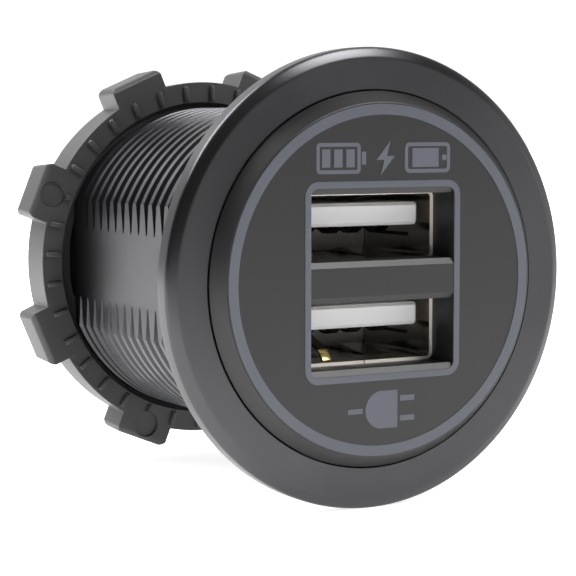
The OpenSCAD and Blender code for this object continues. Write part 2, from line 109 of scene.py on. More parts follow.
def add_node(
    tree: bpy.types.NodeTree,
    kind: str,
    settings: Mapping[str | int, Any] | None = None,
    links: Mapping[str | int, bpy.types.NodeSocket] | None = None,
) -> bpy.types.Node:
    """Adds a node and gives it its settings and links.

    Args:
        tree: Tree that the node goes into.
        kind: Blender's name for the kind of node.
        settings: Values for properties or, where the name or number is an input's, for that input.
        links: Sockets to join to inputs, by the input's name or number.

    Returns:
        The new node.
    """
    node = tree.nodes.new(kind)
    for name, value in (settings or {}).items():
        if isinstance(name, int) or name in node.inputs:
            node.inputs[name].default_value = value
        else:
            setattr(node, name, value)
    for name, socket in (links or {}).items():
        tree.links.new(socket, node.inputs[name])
    return node


# Modelling by hand


class Join(Enum):
    """Ways of putting two closed meshes together."""

    ADD = "UNION"
    CUT = "DIFFERENCE"
    KEEP_COMMON = "INTERSECT"


def start_afresh() -> None:
    """Leaves edit mode and deselects everything."""
    if bpy.context.object is not None and bpy.context.object.mode != "OBJECT":
        bpy.ops.object.mode_set(mode="OBJECT")
    bpy.ops.object.select_all(action="DESELECT")


def pick(piece: bpy.types.Object) -> None:
    """Makes one piece the only selected and the active one.

    Args:
        piece: The piece.
    """
    start_afresh()
    piece.select_set(True)
    bpy.context.view_layer.objects.active = piece


def settle() -> bpy.types.Object:
    """Moves the active piece's place into its mesh and returns the piece."""
    bpy.ops.object.transform_apply(location=True, rotation=True, scale=True)
    return bpy.context.object


def select_vertices(piece: bpy.types.Object, wanted: Callable[[Vector], bool]) -> None:
    """Selects a piece's vertices by their place and leaves the piece in edit mode.

    Args:
        piece: The piece, which is active.
        wanted: Says of a place whether its vertex is selected.
    """
    bpy.ops.object.mode_set(mode="EDIT")
    bpy.ops.mesh.select_all(action="DESELECT")
    bpy.ops.mesh.select_mode(type="VERT")
    bpy.ops.object.mode_set(mode="OBJECT")
    for vertex in piece.data.vertices:
        vertex.select = wanted(vertex.co)
    bpy.ops.object.mode_set(mode="EDIT")


def tidy_mesh(merge_mm: float = 0.002) -> None:
    """Merges the active piece's doubles and turns its faces outwards.

    Args:
        merge_mm: Distance under which vertices are merged.
    """
    bpy.ops.object.mode_set(mode="EDIT")
    bpy.ops.mesh.select_all(action="SELECT")
    bpy.ops.mesh.remove_doubles(threshold=merge_mm * MM)
    bpy.ops.mesh.normals_make_consistent(inside=False)
    bpy.ops.object.mode_set(mode="OBJECT")


def turned(outline: Sequence[tuple[float, float]], sides: int = 192) -> bpy.types.Object:
    """Turns a closed outline round the barrel's axis, ring by ring.

    Args:
        outline: Radius and place along the axis of each corner, in millimetres. A first or last
            radius of nought closes the shape there.
        sides: Corners of a ring.

    Returns:
        The turned solid.
    """
    start_afresh()
    rings = [(max(r, POINT_R_MM), y) for r, y in outline]
    radius, along = rings[0]
    bpy.ops.mesh.primitive_circle_add(vertices=sides, radius=radius * MM, location=(0, along * MM, 0),
                                      rotation=(math.pi / 2, 0, 0))
    piece = settle()
    bpy.ops.object.mode_set(mode="EDIT")
    bpy.ops.mesh.select_mode(type="VERT")
    bpy.ops.mesh.select_all(action="SELECT")
    closed = outline[0][0] > 0
    for new_radius, new_along in rings[1:] + (rings[:1] if closed else []):
        bpy.ops.mesh.extrude_region_move()
        growth = new_radius / radius
        bpy.ops.transform.resize(value=(growth, 1, growth), center_override=(0, along * MM, 0))
        bpy.ops.transform.translate(value=(0, (new_along - along) * MM, 0))
        radius, along = new_radius, new_along
    bpy.ops.object.mode_set(mode="OBJECT")
    tidy_mesh()
    return piece


def box(low: tuple[float, float, float], high: tuple[float, float, float]) -> bpy.types.Object:
    """Makes a block, to be shaped or cut with.

    Args:
        low: Its left, front, lower corner in millimetres.
        high: Its right, back, upper corner.

    Returns:
        The block.
    """
    start_afresh()
    centre = [(a + b) / 2 * MM for a, b in zip(low, high)]
    bpy.ops.mesh.primitive_cube_add(size=1, location=centre)
    bpy.context.object.scale = [(b - a) * MM for a, b in zip(low, high)]
    return settle()


def plate(outline: Sequence[tuple[float, float]], front_y: float, back_y: float) -> bpy.types.Object:
    """Makes a flat plate that faces the front.

    Args:
        outline: Corners as X and Z in millimetres, in order.
        front_y: Place of its front along the axis.
        back_y: Place of its back.

    Returns:
        The plate.
    """
    start_afresh()
    bpy.ops.mesh.primitive_circle_add(vertices=len(outline), radius=MM, fill_type="NGON",
                                      rotation=(math.pi / 2, 0, 0))
    piece = settle()
    for vertex, (x, z) in zip(piece.data.vertices, outline):
        vertex.co = (x * MM, front_y * MM, z * MM)
    bpy.ops.object.mode_set(mode="EDIT")
    bpy.ops.mesh.select_all(action="SELECT")
    bpy.ops.mesh.extrude_region_move(TRANSFORM_OT_translate={"value": (0, (back_y - front_y) * MM, 0)})
    bpy.ops.object.mode_set(mode="OBJECT")
    tidy_mesh(FINE_MERGE_MM)
    return piece


def rounded(x0: float, z0: float, x1: float, z1: float, radius: float) -> list[tuple[float, float]]:
    """Returns the outline of a rectangle with round corners.

    Args:
        x0: Left side in millimetres.
        z0: Lower side.
        x1: Right side.
        z1: Upper side.
        radius: Radius of the corners.

    Returns:
        Corners in order.
    """
    corners = [(x1 - radius, z1 - radius, 0), (x0 + radius, z1 - radius, 90),
               (x0 + radius, z0 + radius, 180), (x1 - radius, z0 + radius, 270)]
    points = []
    for x, z, start in corners:
        for step in range(0, 91, 15):
            turn = math.radians(start + step)
            points.append((x + radius * math.cos(turn), z + radius * math.sin(turn)))
    return points


def sideways(outline: Sequence[tuple[float, float]], left_x: float, right_x: float) -> bpy.types.Object:
    """Makes a plate that faces the side.

    Args:
        outline: Corners as Y and Z in millimetres, in order.
        left_x: Place of its left side.
        right_x: Place of its right side.

    Returns:
        The plate.
    """
    piece = plate(outline, -right_x, -left_x)
    pick(piece)
    piece.rotation_euler = (0, 0, math.pi / 2)
    return settle()


def combine(piece: bpy.types.Object, tool: bpy.types.Object, how: Join) -> bpy.types.Object:
    """Adds, cuts or trims a piece with a tool, which is used up.

    Args:
        piece: The piece that stays.
        tool: The mesh that works on it.
        how: What is done.

    Returns:
        The piece.
    """
    pick(piece)
    change = piece.modifiers.new("combine", "BOOLEAN")
    change.operation = how.value
    change.solver = "EXACT"
    change.object = tool
    bpy.ops.object.modifier_apply(modifier=change.name)
    bpy.data.objects.remove(tool, do_unlink=True)
    tidy_mesh(FINE_MERGE_MM)
    return piece


def soften(piece: bpy.types.Object, radius_mm: float, steps: int = 2, from_degrees: float = 30.0) -> None:
    """Rounds a piece's edges.

    Args:
        piece: The piece.
        radius_mm: Width of the rounding.
        steps: Facets of the rounding.
        from_degrees: Angle from which an edge is rounded.
    """
    pick(piece)
    bevel = piece.modifiers.new("soften", "BEVEL")
    bevel.width = radius_mm * MM
    bevel.segments = steps
    bevel.limit_method = "ANGLE"
    bevel.angle_limit = math.radians(from_degrees)
    bevel.miter_outer = "MITER_ARC"
    bpy.ops.object.modifier_apply(modifier=bevel.name)


def copies_round_axis(piece: bpy.types.Object, angles: Sequence[float]) -> bpy.types.Object:
    """Puts copies of a piece round the barrel's axis and joins them.

    Args:
        piece: The piece as it lies at nought degrees; it is used up.
        angles: Angles of the copies in degrees, from +X towards +Z.

    Returns:
        One mesh with all the copies.
    """
    made = []
    for angle in angles:
        pick(piece)
        bpy.ops.object.duplicate()
        copy = bpy.context.object
        copy.rotation_euler = (0, -math.radians(angle), 0)
        settle()
        made.append(copy)
    start_afresh()
    for copy in made:
        copy.select_set(True)
    bpy.context.view_layer.objects.active = made[0]
    if len(made) > 1:
        bpy.ops.object.join()
    joined = bpy.context.object
    bpy.data.objects.remove(piece, do_unlink=True)
    return joined


def hand_over(piece: bpy.types.Object, name: str, stands_for: Sequence[str] = (),
              smooth_deg: float = 32) -> bpy.types.Object:
    """Names a finished piece, smooths it and fixes it to the socket.

    Args:
        piece: The piece.
        name: Its name.
        stands_for: Solids that it takes the place of.
        smooth_deg: Angle between faces up to which they are shaded as one.

    Returns:
        The piece.
    """
    pick(piece)
    bpy.ops.object.shade_smooth_by_angle(angle=math.radians(smooth_deg))
    even = piece.modifiers.new("even_shading", "WEIGHTED_NORMAL")
    even.keep_sharp = True
    bpy.ops.object.modifier_apply(modifier=even.name)
    piece.name = name
    piece.data.name = name
    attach(piece, BODY)
    if stands_for:
        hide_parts(*stands_for)
    LOG.info("made %s: %d faces", name, len(piece.data.polygons))
    return piece


# Finishes


@dataclass(frozen=True)
class Finish:
    """A plain moulded or turned surface, with a fine grain in its height and roughness.

    Attributes:
        name: The finish's common name.
        colour: Body colour as sRGB hex.
        roughness: Mean roughness.
        metallic: One for bare or plated metal.
        grain_mm: Size of the surface's grain.
        grain_depth_mm: Height of the grain.
        mottle: How much the roughness wanders.
        mottle_mm: Over what distance it does.
        ior: Refractive index of a plastic; metals leave it alone.
    """

    name: str
    colour: str
    roughness: float
    metallic: float = 0.0
    grain_mm: float = 0.2
    grain_depth_mm: float = 0.004
    mottle: float = 0.06
    mottle_mm: float = 6.0
    ior: float = 1.5

    def material(self) -> bpy.types.Material:
        """Builds the material and returns it."""
        made = bpy.data.materials.new(self.name)
        made.use_nodes = True
        tree = made.node_tree
        tree.nodes.clear()
        shader = add_node(tree, "ShaderNodeBsdfPrincipled", {
            "Base Color": linear(self.colour), "Roughness": self.roughness, "Metallic": self.metallic})
        if self.metallic < 0.5:
            shader.inputs["IOR"].default_value = self.ior
        add_node(tree, "ShaderNodeOutputMaterial", links={"Surface": shader.outputs["BSDF"]})
        where = add_node(tree, "ShaderNodeTexCoord").outputs["Object"]
        self.texture(tree, shader, where)
        return made

    def wander(self, tree: bpy.types.NodeTree, shader: bpy.types.Node, where: bpy.types.NodeSocket) -> None:
        """Lets the roughness drift a little over the surface, as on any handled part.

        Args:
            tree: The material's tree.
            shader: Its principled shader.
            where: Object coordinates.
        """
        drift = add_node(tree, "ShaderNodeTexNoise", {"Scale": per_metre(self.mottle_mm), "Detail": 3.0},
                         {"Vector": where})
        level = add_node(tree, "ShaderNodeMapRange", {
            "To Min": self.roughness - self.mottle, "To Max": self.roughness + self.mottle},
            {"Value": drift.outputs["Fac"]})
        tree.links.new(level.outputs["Result"], shader.inputs["Roughness"])

    def bump(self, tree: bpy.types.NodeTree, shader: bpy.types.Node, height: bpy.types.NodeSocket,
             depth_mm: float) -> None:
        """Joins a height pattern to the shader.

        Args:
            tree: The material's tree.
            shader: Its principled shader.
            height: Pattern between nought and one.
            depth_mm: Real height between nought and one.
        """
        bump = add_node(tree, "ShaderNodeBump", {"Strength": 1.0, "Distance": depth_mm * MM},
                        {"Height": height})
        tree.links.new(bump.outputs["Normal"], shader.inputs["Normal"])

    def texture(self, tree: bpy.types.NodeTree, shader: bpy.types.Node, where: bpy.types.NodeSocket) -> None:
        """Adds the grain and the drift in roughness.

        Args:
            tree: The material's tree.
            shader: Its principled shader.
            where: Object coordinates.
        """
        self.wander(tree, shader, where)
        grain = add_node(tree, "ShaderNodeTexNoise", {"Scale": per_metre(self.grain_mm), "Detail": 2.0},
                         {"Vector": where})
        self.bump(tree, shader, grain.outputs["Fac"], self.grain_depth_mm)


@dataclass(frozen=True)
class TurnedAnodised(Finish):
    """Black anodised aluminium from the lathe: a soft sheen with fine rings round the barrel's axis.

    Attributes:
        feed_mm: Spacing of the tool marks; a real 0.05 mm feed is drawn coarser so that it shows.
        feed_depth_mm: Height of the tool marks.
        spread: How much wider the sheen is across the tool marks than along them.
        quarter_turn: Turn of the sheen, as a share of a full turn, that lays it across them.
        dust: How much lighter the lightest places are.
        dust_mm: Size of such a place.
    """

    feed_mm: float = 0.22
    feed_depth_mm: float = 0.0015
    spread: float = 0.7
    quarter_turn: float = 0.25
    dust: float = 1.18
    dust_mm: float = 9.0

    def texture(self, tree: bpy.types.NodeTree, shader: bpy.types.Node, where: bpy.types.NodeSocket) -> None:
        """Adds the tool marks and a faint dusty variation.

        Args:
            tree: The material's tree.
            shader: Its principled shader.
            where: Object coordinates.
        """
        self.wander(tree, shader, where)
        shader.inputs["Anisotropic"].default_value = self.spread
        shader.inputs["Anisotropic Rotation"].default_value = self.quarter_turn
        along_marks = add_node(tree, "ShaderNodeTangent", {"direction_type": "RADIAL", "axis": "Y"})
        tree.links.new(along_marks.outputs["Tangent"], shader.inputs["Tangent"])
        rings = add_node(tree, "ShaderNodeTexWave", {
            "wave_type": "RINGS", "rings_direction": "Y", "Scale": per_metre(self.feed_mm) / 20,
            "Distortion": 0.6, "Detail": 2.0, "Detail Scale": 0.2}, {"Vector": where})
        grain = add_node(tree, "ShaderNodeTexNoise", {"Scale": per_metre(self.grain_mm), "Detail": 3.0},
                         {"Vector": where})
        both = add_node(tree, "ShaderNodeMix", {"data_type": "FLOAT", "Factor": 0.5},
                        {2: rings.outputs["Fac"], 3: grain.outputs["Fac"]})
        self.bump(tree, shader, both.outputs[0], self.feed_depth_mm)
        tint = add_node(tree, "ShaderNodeTexNoise", {"Scale": per_metre(self.dust_mm), "Detail": 4.0},
                        {"Vector": where})
        base = linear(self.colour)
        lighter = tuple(c * self.dust for c in base[:3]) + (1.0,)
        shade = add_node(tree, "ShaderNodeMix", {"data_type": "RGBA", 6: base, 7: lighter},
                         {"Factor": tint.outputs["Fac"]})
        tree.links.new(shade.outputs[2], shader.inputs["Base Color"])


@dataclass(frozen=True)
class RolledPlate(Finish):
    """Plated sheet metal: bright, with fine rolling lines along one axis.

    Attributes:
        line_mm: Spacing of the rolling lines.
        stretch: How much longer than wide the lines are, along X, Y and Z.
    """

    line_mm: float = 0.12
    stretch: tuple[float, float, float] = (1.0, 0.06, 1.0)

    def texture(self, tree: bpy.types.NodeTree, shader: bpy.types.Node, where: bpy.types.NodeSocket) -> None:
        """Adds the rolling lines and the drift in roughness.

        Args:
            tree: The material's tree.
            shader: Its principled shader.
            where: Object coordinates.
        """
        self.wander(tree, shader, where)
        drawn = add_node(tree, "ShaderNodeMapping", {"Scale": self.stretch}, {"Vector": where})
        lines = add_node(tree, "ShaderNodeTexNoise", {"Scale": per_metre(self.line_mm), "Detail": 2.0},
                         {"Vector": drawn.outputs["Vector"]})
        self.bump(tree, shader, lines.outputs["Fac"], self.grain_depth_mm)


@dataclass(frozen=True)
class ShearedPlate(RolledPlate):
    """Plated sheet whose front edge was sheared: that edge is rough and scatters the light, and it is painted
    near white as a painted highlight for the light that its burr catches.

    Attributes:
        edge_y_mm: Plane of the sheared edge along the barrel's axis.
        edge_roughness: Roughness of the edge.
        edge_highlight_colour: Colour of the edge as sRGB hex, near white: a painted highlight for the light
            that the burred edge catches.
    """

    edge_y_mm: float = -0.25
    edge_roughness: float = 0.75
    edge_highlight_colour: str = "#fffaf2"

    def texture(self, tree: bpy.types.NodeTree, shader: bpy.types.Node, where: bpy.types.NodeSocket) -> None:
        """Adds the rolling lines and the sheared edge, which is rougher and painted near white as a painted
        highlight.

        Args:
            tree: The material's tree.
            shader: Its principled shader.
            where: Object coordinates.
        """
        super().texture(tree, shader, where)
        depth = add_node(tree, "ShaderNodeSeparateXYZ", links={"Vector": where}).outputs["Y"]
        edge = add_node(tree, "ShaderNodeMapRange", {
            "From Min": (self.edge_y_mm + 0.02) * MM, "From Max": (self.edge_y_mm + 0.06) * MM, "To Min": 1.0,
            "To Max": 0.0}, {"Value": depth}).outputs["Result"]
        smooth = shader.inputs["Roughness"].links[0].from_socket
        rough = add_node(tree, "ShaderNodeMix", {"data_type": "FLOAT", 3: self.edge_roughness},
                         {"Factor": edge, 2: smooth})
        tree.links.new(rough.outputs[0], shader.inputs["Roughness"])
        # Painted highlight: the sheared edge's colour is pushed to near white to stand for the light that its
        # burr catches
        colour = add_node(tree, "ShaderNodeMix", {"data_type": "RGBA", 6: linear(self.colour),
                                                  7: linear(self.edge_highlight_colour)}, {"Factor": edge})
        tree.links.new(colour.outputs[2], shader.inputs["Base Color"])


@dataclass(frozen=True)
class ClearMoulding(Finish):
    """Milky light-guide plastic: a little light goes into it and comes out beside.

    Attributes:
        depth_mm: How far light wanders inside.
        weight: Share of the light that does.
    """

    depth_mm: float = 0.5
    weight: float = 0.3

    def texture(self, tree: bpy.types.NodeTree, shader: bpy.types.Node, where: bpy.types.NodeSocket) -> None:
        """Adds the milkiness, the grain and the drift in roughness.

        Args:
            tree: The material's tree.
            shader: Its principled shader.
            where: Object coordinates.
        """
        super().texture(tree, shader, where)
        shader.inputs["Subsurface Weight"].default_value = self.weight
        shader.inputs["Subsurface Radius"].default_value = (1.0, 1.0, 1.0)
        shader.inputs["Subsurface Scale"].default_value = self.depth_mm * MM


# Black anodising over turned aluminium: dark, satin, bright only where it is seen edge-on
ANODISED = TurnedAnodised("black_anodised_aluminium", "#464648", 0.3, metallic=1.0, grain_mm=0.12)
# Glass-filled nylon out of the mould: dull, with a faint pebble
NYLON = Finish("moulded_black_nylon", "#353536", 0.46, grain_mm=0.25, grain_depth_mm=0.006, ior=1.53)
# Polycarbonate from a spark-eroded mould: very even and matt
FACE = Finish("matt_black_polycarbonate", "#161618", 0.42, grain_mm=0.09, grain_depth_mm=0.003, mottle=0.03,
              ior=1.5)
# Acrylic with a grey tint: slightly blue and dim while the lamps are off, with soft edges
GUIDE = ClearMoulding("tinted_light_guide_acrylic", "#4c4e57", 0.42, grain_mm=0.1, grain_depth_mm=0.002,
                      mottle=0.03, ior=1.49)
# Pad-printing ink of the light guide's colour
INK = Finish("grey_pad_printing_ink", "#4c4e57", 0.5, grain_mm=0.06, grain_depth_mm=0.002, mottle=0.03)
# ABS out of a polished mould: black with a soft gloss
ABS = Finish("moulded_black_abs", "#1c1c1d", 0.4, grain_mm=0.3, grain_depth_mm=0.004, ior=1.54)
# Bright nickel over phosphor bronze sheet; its sheared front edge is painted near white as a painted
# highlight
NICKEL = ShearedPlate("nickel_plated_sheet", "#b9b4aa", 0.17, metallic=1.0, grain_depth_mm=0.001, mottle=0.04)
# White glass-filled polyester that stands soldering
POLYESTER = Finish("white_moulded_polyester", "#dcdcdc", 0.38, grain_mm=0.15, grain_depth_mm=0.003, ior=1.55)
# Phosphor bronze of the contacts, painted far darker than the metal: painted shade, because the contacts lie
# in shadow under the tongues
SHADED_BRONZE = RolledPlate("phosphor_bronze_with_painted_shade", "#4a4034", 0.34, metallic=1.0, grain_depth_mm=0.0008, mottle=0.04)
# Gold flash over nickel
GOLD = RolledPlate("gold_flash", "#ecd189", 0.26, metallic=1.0, grain_depth_mm=0.0008, mottle=0.04)
# Green solder resist over glass laminate
RESIST = Finish("green_solder_resist", "#1d5c38", 0.28, grain_mm=0.4, grain_depth_mm=0.004, ior=1.52)
# Clear epoxy of the lamps
LAMP = ClearMoulding("lamp_epoxy", "#f2e7c0", 0.2, grain_depth_mm=0.001, ior=1.5)
# Sintered ferrite: dull and very slightly pitted
FERRITE = Finish("sintered_ferrite", "#39393b", 0.66, grain_mm=0.18, grain_depth_mm=0.01, ior=1.9)
# Enamelled copper wire, wound in layers along the choke's height
COPPER = RolledPlate("enamelled_copper_wire", "#b5673a", 0.24, metallic=1.0, grain_depth_mm=0.05, line_mm=0.4,
                     stretch=(0.05, 0.05, 1.0))
# Shrink sleeve round an aluminium can
SLEEVE = Finish("black_shrink_sleeve", "#20222c", 0.3, grain_mm=0.5, grain_depth_mm=0.004, ior=1.5)
# Moulding compound of the chips: dull and sandy
COMPOUND = Finish("moulding_compound", "#1b1b1c", 0.62, grain_mm=0.08, grain_depth_mm=0.006, ior=1.55)
# Tin plate over brass blades
TIN = RolledPlate("tin_plated_brass", "#c9c2b4", 0.3, metallic=1.0, grain_depth_mm=0.001, line_mm=0.15)

NODE_FINISH: dict[str, Finish] = {
    "housing": ANODISED, "lock_nut": NYLON, "face_plate": FACE, "light_guide": GUIDE, "port_carrier": ABS,
    "usb_shell_upper": NICKEL, "usb_shell_lower": NICKEL, "usb_tongue_upper": POLYESTER,
    "usb_tongue_lower": POLYESTER, "usb_contacts_upper": SHADED_BRONZE, "usb_contacts_lower": SHADED_BRONZE,
    "port_board": RESIST, "ring_leds": LAMP, "link_pins": GOLD, "converter_board": RESIST,
    "choke_core": FERRITE, "choke_winding": COPPER, "input_capacitor": SLEEVE, "output_capacitor": SLEEVE,
    "converter_chip": COMPOUND, "charge_chip": COMPOUND, "flyback_diode": COMPOUND,
    "chip_resistors": COMPOUND, "rear_cap": ABS, "terminal_positive": TIN, "terminal_negative": TIN,
}


class FinishShelf:
    """Builds each finish once and hands it out."""

    def __init__(self) -> None:
        """Starts with an empty shelf."""
        self._made: dict[str, bpy.types.Material] = {}

    def take(self, finish: Finish) -> bpy.types.Material:
        """Returns the finish's material, building it the first time."""
        if finish.name not in self._made:
            self._made[finish.name] = finish.material()
        return self._made[finish.name]

    def dress(self, piece: bpy.types.Object, finish: Finish) -> None:
        """Gives a piece one finish all over."""
        piece.data.materials.clear()
        piece.data.materials.append(self.take(finish))


# The socket's pieces


# Corners of a turned ring that shows at the front; equal ones keep thin slivers out of its faces
TURNED_SIDES = 256


@dataclass
class Thread:
    """Right-hand thread with a flat crest, which the barrel carries and the ring nut is cut with.

    Attributes:
        crest_r: Radius over the crests, in millimetres as all sizes here.
        depth: Depth of a groove.
        pitch: Distance from groove to groove.
        crest_flat: Width of the crest.
        root_flat: Width of the root.
        groove_y: Place of the first groove's middle on the side towards -X.
        corner: Width of the broken edge beside the crest.
        facets: Facets of one turn.
    """

    crest_r: float = 13.7
    depth: float = 0.85
    pitch: float = 1.5
    crest_flat: float = 0.62
    root_flat: float = 0.25
    groove_y: float = 1.72
    corner: float = 0.05
    facets: int = 128

    def rod(self, start_y: float, end_y: float, room: float = 0.0) -> bpy.types.Object:
        """Cuts a threaded rod between two planes.

        Args:
            start_y: Plane of its front end.
            end_y: Plane of its rear end.
            room: How much larger than the thread it is all over, for a tool that cuts a nut.

        Returns:
            The solid rod.
        """
        start_afresh()
        bpy.ops.mesh.primitive_plane_add(size=MM)
        line = bpy.context.object
        first = self.groove_y + self.pitch * (math.floor((start_y - self.groove_y) / self.pitch) - 1)
        points = self.one_turn(room)
        select_vertices(line, lambda place: place.x > 0 or place.y > 0)
        bpy.ops.mesh.delete(type="VERT")
        bpy.ops.object.mode_set(mode="OBJECT")
        line.data.vertices[0].co = self.place(points[0], first)
        bpy.ops.object.mode_set(mode="EDIT")
        bpy.ops.mesh.select_all(action="SELECT")
        for old, new in zip(points, points[1:]):
            step = self.place(new, first) - self.place(old, first)
            bpy.ops.mesh.extrude_region_move(TRANSFORM_OT_translate={"value": step})
        bpy.ops.object.mode_set(mode="OBJECT")
        sweep = line.modifiers.new("thread", "SCREW")
        sweep.axis = "Y"
        sweep.angle = math.tau
        sweep.screw_offset = self.pitch * MM
        sweep.iterations = math.ceil((end_y - start_y) / self.pitch) + 3
        sweep.steps = sweep.render_steps = self.facets
        sweep.use_merge_vertices = True
        sweep.merge_threshold = 0.002 * MM
        bpy.ops.object.modifier_apply(modifier=sweep.name)
        tidy_mesh()
        for plane_y, outer in ((end_y, True), (start_y, False)):
            bpy.ops.object.mode_set(mode="EDIT")
            bpy.ops.mesh.select_all(action="SELECT")
            bpy.ops.mesh.bisect(plane_co=(0, plane_y * MM, 0), plane_no=(0, 1, 0), use_fill=True,
                                clear_outer=outer, clear_inner=not outer, threshold=1e-7)
            bpy.ops.object.mode_set(mode="OBJECT")
        tidy_mesh()
        return line

    def one_turn(self, room: float) -> list[tuple[float, float]]:
        """Draws the thread's outline over one pitch, from a root's middle to the next.

        Args:
            room: How much larger than the thread it is all over.

        Returns:
            Points as radius and place along the axis.
        """
        root, crest = self.crest_r - self.depth + room, self.crest_r + room
        half_root, half_crest = self.root_flat / 2, self.crest_flat / 2
        middle, c = self.pitch / 2, self.corner
        rise = [(root, 0.0), (root, half_root), (crest - c, middle - half_crest - c / 3),
                (crest, middle - half_crest + c / 2)]
        return rise + [(r, self.pitch - y) for r, y in reversed(rise)]

    def place(self, point: tuple[float, float], first: float) -> Vector:
        """Returns an outline point's place in metres on the side towards -X."""
        return Vector((-point[0] * MM, (first + point[1]) * MM, 0))


@dataclass
class Body:
    """Turned and anodised housing: the flange, the threaded barrel with its two flats, and the bore.

    Attributes:
        thread: The barrel's thread.
        flange_r: Radius of the flange, in millimetres as all sizes here.
        flange_t: Thickness of the flange.
        chamfer: Radial width and depth of the chamfer on the flange's front edge.
        rim_blend: How far the chamfer and the rim run into each other.
        collar_l: Length of the plain collar in front of the thread.
        seat_r: Radius of the recess for the face plate.
        seat_depth: Depth of that recess.
        bore_r: Radius of the bore.
        flats: Distance across the flats.
        flat_l: Length of the flats.
        length: Length of the barrel.
        end_bevel: Width of the bevel on the barrel's end.
    """

    thread: Thread
    flange_r: float = 18.35
    flange_t: float = 1.9
    chamfer: tuple[float, float] = (0.8, 0.4)
    rim_blend: float = 0.25
    collar_l: float = 1.2
    seat_r: float = 14.97
    seat_depth: float = 0.9
    bore_r: float = 11.7
    flats: float = 25.0
    flat_l: float = 29.6
    length: float = 34.0
    end_bevel: float = 0.5

    def build(self, shelf: FinishShelf) -> None:
        """Turns, threads and mills the housing and dresses it.

        Args:
            shelf: Where the finish comes from.
        """
        rod = self.thread.rod(-0.3, self.length)
        crest = self.thread.crest_r
        envelope = turned([(0, -1), (crest + 1, -1), (crest + 1, self.length - self.end_bevel - 1),
                           (crest - self.end_bevel, self.length), (0, self.length)], 96)
        combine(rod, envelope, Join.KEEP_COMMON)
        # A hair under the crests, so that no two surfaces lie in each other
        collar_r = crest - 0.004
        collar = turned([(0, -0.6), (collar_r, -0.6), (collar_r, self.collar_l),
                         (crest - 0.6, self.collar_l + 0.3), (0, self.collar_l + 0.3)], 120)
        combine(rod, collar, Join.ADD)
        for side in (-1, 1):
            near, out = side * self.flats / 2, side * (crest + 3)
            combine(rod, box((min(near, out), 0, -crest), (max(near, out), self.flat_l, crest)), Join.CUT)
        flange = combine(self.flange(), rod, Join.ADD)
        combine(flange, self.bore(), Join.CUT)
        shelf.dress(hand_over(flange, "turned_housing", ["housing"]), ANODISED)

    def flange(self) -> bpy.types.Object:
        """Turns the flange.

        Returns:
            The flange as a full disc.
        """
        front, (wide, deep) = -self.flange_t, self.chamfer
        corner = Vector((self.flange_r, front + deep))
        before = corner - Vector((wide, deep)).normalized() * self.rim_blend
        after = corner + Vector((0, self.rim_blend))
        blend = [tuple((1 - t) ** 2 * before + 2 * t * (1 - t) * corner + t * t * after)
                 for t in (i / 6 for i in range(7))]
        inside = self.flange_r - wide
        back_edge = [(self.flange_r, -0.15), (self.flange_r - 0.05, -0.05), (self.flange_r - 0.15, 0)]
        front_edge = [(inside - 0.2, front), (inside - 0.06, front), (inside + 0.06, front + 0.03)]
        return turned([(0, front), *front_edge, *blend, *back_edge, (0, 0)], TURNED_SIDES)

    def bore(self) -> bpy.types.Object:
        """Makes the tool that cuts the bore and the face plate's recess, with broken edges.

        Returns:
            The tool.
        """
        front, edge = -self.flange_t, 0.08
        seat = front + self.seat_depth
        return turned([(0, front - 1), (self.seat_r + edge + 1, front - 1), (self.seat_r + edge, front),
                       (self.seat_r, front + edge), (self.seat_r, seat), (self.bore_r, seat),
                       (self.bore_r, self.length - 0.3), (self.bore_r + 0.6, self.length + 0.3),
                       (self.bore_r + 0.6, self.length + 1), (0, self.length + 1)], TURNED_SIDES)


